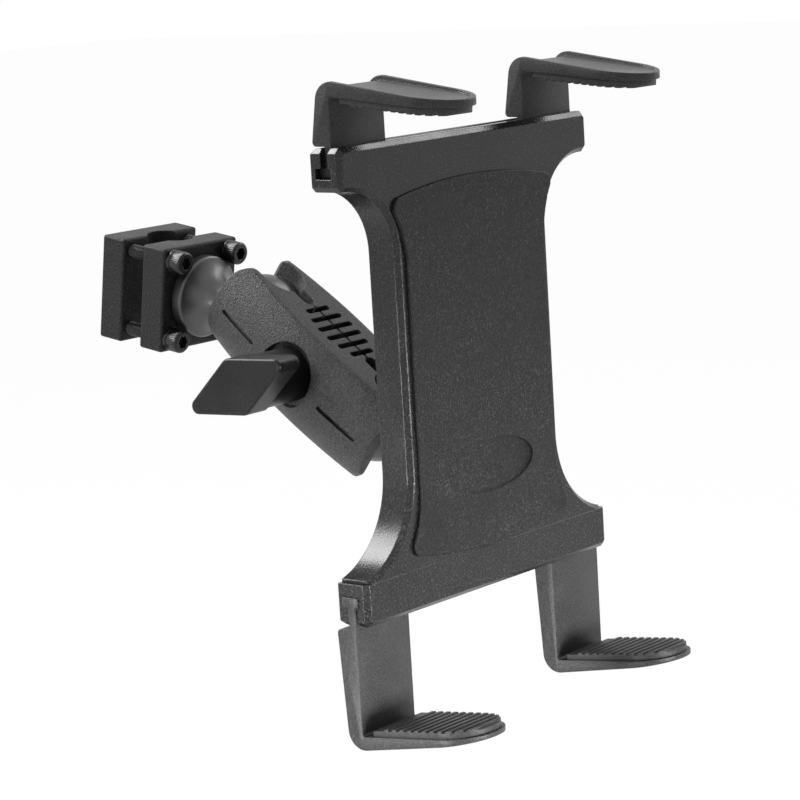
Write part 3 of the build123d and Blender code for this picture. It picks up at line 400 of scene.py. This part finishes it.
def socket_screw(number, x, z):
    """Lathed profile about Y, then laid along the clamp's tilted axis."""
    mesh = bmesh.new()
    tip = SCREW_SEAT + SCREW_LENGTH
    top = SCREW_SEAT - HEAD_HEIGHT
    points = [(0.0, tip), (THREAD_ROOT, tip)]
    for turn in range(int(SCREW_LENGTH / THREAD_PITCH)):
        start = tip - turn * THREAD_PITCH
        points += [(THREAD_ROOT, start), (THREAD_CREST, start - THREAD_PITCH * 0.5)]
    points += [
        (THREAD_ROOT, SCREW_SEAT),
        (HEAD_RADIUS - HEAD_ROUND, SCREW_SEAT),
        (HEAD_RADIUS, SCREW_SEAT - HEAD_ROUND),
        (HEAD_RADIUS, top + HEAD_RIM),
        (HEAD_RADIUS - HEAD_RIM, top),
        (SOCKET_RADIUS + HEAD_ROUND, top),
    ]
    line = [mesh.verts.new((radius, y, 0.0)) for radius, y in points]
    edges = [mesh.edges.new(pair) for pair in zip(line, line[1:])]
    bmesh.ops.spin(mesh, geom=line + edges, cent=(0, 0, 0), axis=(0, 1, 0), dvec=(0, 0, 0),
                   angle=math.tau, steps=SCREW_STEPS, use_merge=True, use_duplicate=False)
    bmesh.ops.remove_doubles(mesh, verts=mesh.verts, dist=WELD)

    # Knurl: every second line of the head's side lies a little deeper
    for vert in mesh.verts:
        on_side = abs(math.hypot(vert.co.x, vert.co.z) - HEAD_RADIUS) < WELD * 10
        if on_side and round(around(vert) / math.tau * SCREW_STEPS) % 2:
            factor = 1.0 - KNURL_DEPTH / HEAD_RADIUS
            vert.co.x *= factor
            vert.co.z *= factor

    # Hex socket: the round mouth runs into a hexagon, which goes straight down to its floor
    rim = [edge for edge in mesh.edges if edge.is_boundary]
    mouth = bmesh.ops.extrude_edge_only(mesh, edges=rim)
    for vert in of_kind(mouth, bmesh.types.BMVert):
        angle = around(vert)
        offset = (angle % HEX_SIDE) - HEX_SIDE / 2
        reach = SOCKET_RADIUS * math.cos(HEX_SIDE / 2) / math.cos(offset)
        vert.co = (math.cos(angle) * reach, top, math.sin(angle) * reach)
    wall = bmesh.ops.extrude_edge_only(mesh, edges=of_kind(mouth, bmesh.types.BMEdge))
    bmesh.ops.translate(mesh, verts=of_kind(wall, bmesh.types.BMVert), vec=(0, SOCKET_DEPTH, 0))
    bmesh.ops.contextual_create(mesh, geom=of_kind(wall, bmesh.types.BMEdge))
    bmesh.ops.recalc_face_normals(mesh, faces=mesh.faces)
    place = Matrix.Rotation(CLAMP_TILT, 4, "X") @ Matrix.Translation((x, 0, z))
    bmesh.ops.transform(mesh, matrix=place, verts=mesh.verts)
    return add_piece(f"socket_screw_{number}", mesh, f"clamp_screw_{number}")


SCREW_PLACES = [(x, z) for z in (SCREW_OFFSET, -SCREW_OFFSET) for x in (-SCREW_OFFSET, SCREW_OFFSET)]
for number, (x, z) in enumerate(SCREW_PLACES, start=1):
    socket_screw(number, x, z)

for rail in ("upper", "lower"):
    for hand in ("left", "right"):
        soft_edges(f"{rail}_{hand}_grip", GRIP_ROUND)
        soft_edges(f"{rail}_{hand}_leg", LEG_ROUND)


# Arm halves: line grooves as deep at their ends as in the middle

def line_cutter(side):
    """Round-ended bars that lie along the falling crown of one half, in the arm's own frame."""
    mesh = bmesh.new()
    fall = math.atan2(ARM_CROWN_MIDDLE - ARM_CROWN_END, BALL_SPACING / 2 + ARM_END)
    length = LINE_OUTER - LINE_INNER
    for end in (-1, 1):
        x = end * (LINE_OUTER + LINE_INNER) / 2
        crown = ARM_CROWN_MIDDLE - abs(x) * math.tan(fall)
        disc = bmesh.ops.create_circle(mesh, cap_ends=True, segments=LINE_STEPS,
                                       radius=LINE_WIDTH / 2)["verts"]
        for vert in disc:
            vert.co.x += math.copysign((length - LINE_WIDTH) / 2, vert.co.x)
        faces = [face for face in mesh.faces if all(vert in disc for vert in face.verts)]
        raised = bmesh.ops.extrude_face_region(mesh, geom=faces)
        top = of_kind(raised, bmesh.types.BMVert)
        bmesh.ops.translate(mesh, verts=top, vec=(0, 0, ARM_CROWN_END))
        place = Matrix.Translation((x, 0, side * (crown - LINE_DEPTH)))
        place = place @ Matrix.Rotation(side * end * fall, 4, "Y") @ Matrix.Diagonal((1, 1, side, 1))
        bmesh.ops.transform(mesh, matrix=place, verts=disc + top)
    bmesh.ops.recalc_face_normals(mesh, faces=mesh.faces)
    along = Vector((0.0, -math.cos(ARM_ANGLE), -math.sin(ARM_ANGLE)))
    out = Vector((-1.0, 0.0, 0.0))
    turn = Matrix((along, out.cross(along), out)).transposed().to_4x4()
    middle = BALL_1 + along * BALL_SPACING / 2
    bmesh.ops.transform(mesh, matrix=Matrix.Translation(middle) @ turn, verts=mesh.verts)
    return mesh


def grooved_half(node_name, side):
    """Copy of an arm half with the cutter taken out of it."""
    piece = add_piece(f"{node_name}_grooved", node_copy(node_name), node_name)
    data = bpy.data.meshes.new("line_cutter")
    cutter = line_cutter(side)
    cutter.to_mesh(data)
    cutter.free()
    tool = bpy.data.objects.new("line_cutter", data)
    bpy.context.scene.collection.objects.link(tool)
    cut = piece.modifiers.new("line_grooves", "BOOLEAN")
    cut.operation = "DIFFERENCE"
    cut.solver = "EXACT"
    cut.object = tool
    cut_piece = piece.evaluated_get(bpy.context.evaluated_depsgraph_get())
    shaped = bpy.data.meshes.new_from_object(cut_piece)
    piece.modifiers.clear()
    piece.data = shaped
    shade(shaped)
    bpy.data.objects.remove(tool)
    return piece


grooved_half("arm_half_front", 1)
grooved_half("arm_half_rear", -1)


# Studio: camera at the photograph's angle, soft boxes, white floor and background

def lamp(name, place, target, width, height, power, beam=180.0):
    data = bpy.data.lights.new(name, "AREA")
    data.shape = "RECTANGLE"
    data.size = width
    data.size_y = height
    data.energy = power
    data.spread = math.radians(beam)
    light = bpy.data.objects.new(name, data)
    light.location = place
    light.rotation_mode = "QUATERNION"
    light.rotation_quaternion = (target - place).to_track_quat("-Z", "Y")
    bpy.context.scene.collection.objects.link(light)


def background_rays(tree):
    """1 for camera, reflection and glass rays, which see the background as plain white."""
    path = tree.nodes.new("ShaderNodeLightPath")
    seen = math_node(tree, "MAXIMUM", path.outputs["Is Camera Ray"], path.outputs["Is Glossy Ray"])
    return math_node(tree, "MAXIMUM", seen, path.outputs["Is Transmission Ray"])


def mix_shaders(tree, share, first, second):
    """The first shader, with the second one laid over it by a share."""
    mix = tree.nodes.new("ShaderNodeMixShader")
    join(tree, share, mix.inputs["Fac"])
    join(tree, first.outputs[0], mix.inputs[1])
    join(tree, second.outputs[0], mix.inputs[2])
    return mix.outputs[0]


def make_floor():
    mesh = bmesh.new()
    bmesh.ops.create_grid(mesh, x_segments=1, y_segments=1, size=FLOOR_REACH)
    bmesh.ops.translate(mesh, verts=mesh.verts, vec=(0, 0, cad_box[0].z - FLOOR_DROP))
    data = bpy.data.meshes.new("studio_floor")
    mesh.to_mesh(data)
    mesh.free()
    floor = bpy.data.objects.new("studio_floor", data)
    bpy.context.scene.collection.objects.link(floor)
    paint = bpy.data.materials.new("floor_paint")
    paint.use_nodes = True
    tree = paint.node_tree
    shader = tree.nodes["Principled BSDF"]
    shader.inputs["Base Color"].default_value = (0.85, 0.85, 0.85, 1)
    shader.inputs["Roughness"].default_value = 0.9
    white = node(tree, "ShaderNodeEmission", Color=(1, 1, 1, 1), Strength=1.0)
    share = math_node(tree, "MULTIPLY", background_rays(tree), FLOOR_WHITE)
    join(tree, mix_shaders(tree, share, shader, white), tree.nodes["Material Output"].inputs["Surface"])
    floor.data.materials.append(paint)


def make_world():
    world = bpy.data.worlds.new("studio")
    bpy.context.scene.world = world
    world.use_nodes = True
    tree = world.node_tree
    soft = tree.nodes["Background"]
    soft.inputs["Color"].default_value = (1, 1, 1, 1)
    soft.inputs["Strength"].default_value = SOFT_LIGHT
    white = node(tree, "ShaderNodeBackground", Color=(1, 1, 1, 1), Strength=1.0)
    mixed = mix_shaders(tree, background_rays(tree), soft, white)
    join(tree, mixed, tree.nodes["World Output"].inputs["Surface"])


def make_camera():
    data = bpy.data.cameras.new("camera")
    data.lens = CAMERA_LENS
    data.sensor_width = SENSOR
    data.clip_start = CAMERA_NEAR
    camera = bpy.data.objects.new("camera", data)
    camera.location = CAMERA_PLACE
    camera.rotation_mode = "QUATERNION"
    level = CAMERA_FORWARD.to_track_quat("-Z", "Y")
    camera.rotation_quaternion = level @ Quaternion((0, 0, 1), CAMERA_ROLL)
    bpy.context.scene.collection.objects.link(camera)
    bpy.context.scene.camera = camera


make_floor()
make_world()
make_camera()
middle = (cad_box[0] + cad_box[1]) / 2
legs = middle + Vector((-0.02, -0.06, -0.11))
lamp("top_box", middle + Vector((-0.24, 0.72, 0.74)), middle, width=0.6, height=0.6, power=17.0)
lamp("left_box", middle + Vector((-0.95, -0.05, 0.4)), middle, width=0.4, height=0.4, power=0.3)
lamp("right_strip", middle + Vector((0.83, -0.18, 0.70)), middle, width=0.22, height=0.8, power=3.0)
lamp("low_front_box", middle + Vector((-0.05, -0.75, -0.12)), legs, width=0.2, height=0.1,
     power=0.3, beam=30.0)
lamp("low_side_box", middle + Vector((-0.72, 0.12, -0.12)), legs, width=0.2, height=0.1,
     power=0.2, beam=26.0)
bpy.context.scene.view_settings.view_transform = "Standard"
